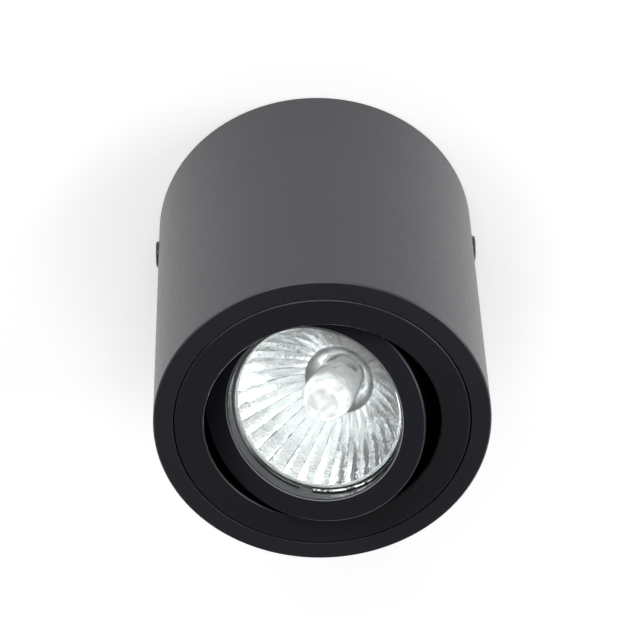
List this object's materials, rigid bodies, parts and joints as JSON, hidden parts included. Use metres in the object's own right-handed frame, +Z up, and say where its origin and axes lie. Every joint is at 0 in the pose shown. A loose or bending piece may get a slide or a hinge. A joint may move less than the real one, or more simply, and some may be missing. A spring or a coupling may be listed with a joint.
{
  "type": "surface mounted ceiling spotlight",
  "caption": "Black cylindrical surface mounted ceiling spotlight with a swivelling trim ring and a tilting gimbal ring that holds a reflector lamp.",
  "frame": {"origin": "centre of the ceiling bracket's mounting face, on the housing's axis; the ceiling is the plane z = 0", "axes": "+Z up along the housing's axis into the ceiling, so the lamp shines towards -Z; +X through the two side screws; +Y away from the picture's camera"},
  "size_m": [0.0976, 0.096, 0.1127],
  "materials": {
    "black_coat": "matte powder coat, fine grain",
    "trim_coat": "matte black powder coat",
    "black_screw": "black oxide, half gloss",
    "zinc_steel": "zinc plated sheet, satin",
    "screw_steel": "zinc plated, satin",
    "spring_steel": "tempered strip, half gloss",
    "brass": "turned brass",
    "copper": "bare stranded copper",
    "inlet_rubber": "soft black rubber",
    "block_plastic": "natural polyamide",
    "lead_brown": "silicone rubber, brown",
    "lead_blue": "silicone rubber, blue",
    "lead_earth": "silicone rubber, green with a yellow stripe",
    "tie_nylon": "natural nylon",
    "washer_nylon": "natural nylon",
    "black_wire": "black enamel, gloss",
    "mirror_glass": "aluminised fluted glass",
    "clear_glass": "clear polished",
    "quartz": "clear quartz",
    "tungsten": "drawn tungsten",
    "cement": "dull ceramic cement",
    "ceramic": "unglazed white steatite",
    "nickel": "nickel plated",
    "cover_sheet": "plated sheet cover"
  },
  "bodies": {
    "housing": {"housing_tube": "black_coat", "side_screws": "black_screw", "ceiling_bracket": "zinc_steel", "cable_grommet": "inlet_rubber", "terminal_block": "block_plastic", "terminal_clamps": "brass", "terminal_screws": "screw_steel", "block_screws": "screw_steel", "earth_washer": "screw_steel", "earth_tag": "screw_steel", "earth_screw": "screw_steel", "earth_lead": "lead_earth", "conductor_ends": "copper", "live_lead_upper": "lead_brown", "neutral_lead_upper": "lead_blue"},
    "trim_insert": {"trim_ring": "trim_coat", "leaf_springs": "spring_steel", "spring_screws": "screw_steel", "pivot_screws": "screw_steel", "friction_washers": "washer_nylon", "lead_tie": "tie_nylon"},
    "lamp_carrier": {"gimbal_ring": "trim_coat", "retaining_wire": "black_wire", "lamp_reflector": "mirror_glass", "lamp_front_glass": "clear_glass", "lamp_burner": "quartz", "lamp_filament": "tungsten", "burner_wires": "tungsten", "burner_cement": "cement", "lamp_base": "ceramic", "lamp_pins": "nickel", "lampholder_body": "ceramic", "lampholder_contacts": "nickel", "lampholder_cover": "cover_sheet", "lampholder_screws": "screw_steel", "live_lead_lower": "lead_brown", "neutral_lead_lower": "lead_blue"}
  },
  "joints": [
    {"name": "trim_swivel", "type": "hinge", "parent": "housing", "child": "trim_insert", "pos_m": [0, 0, -0.09313], "axis": [0, 0, 1], "range_deg": [-175, 175], "deforming": ["live_lead_upper", "neutral_lead_upper"]},
    {"name": "lamp_tilt", "type": "hinge", "parent": "trim_insert", "child": "lamp_carrier", "pos_m": [0, 0, -0.09313], "axis": [-0.6046, 0.7965, 0], "range_deg": [-52.75, 7.25], "deforming": ["live_lead_lower", "neutral_lead_lower"]}
  ]
}
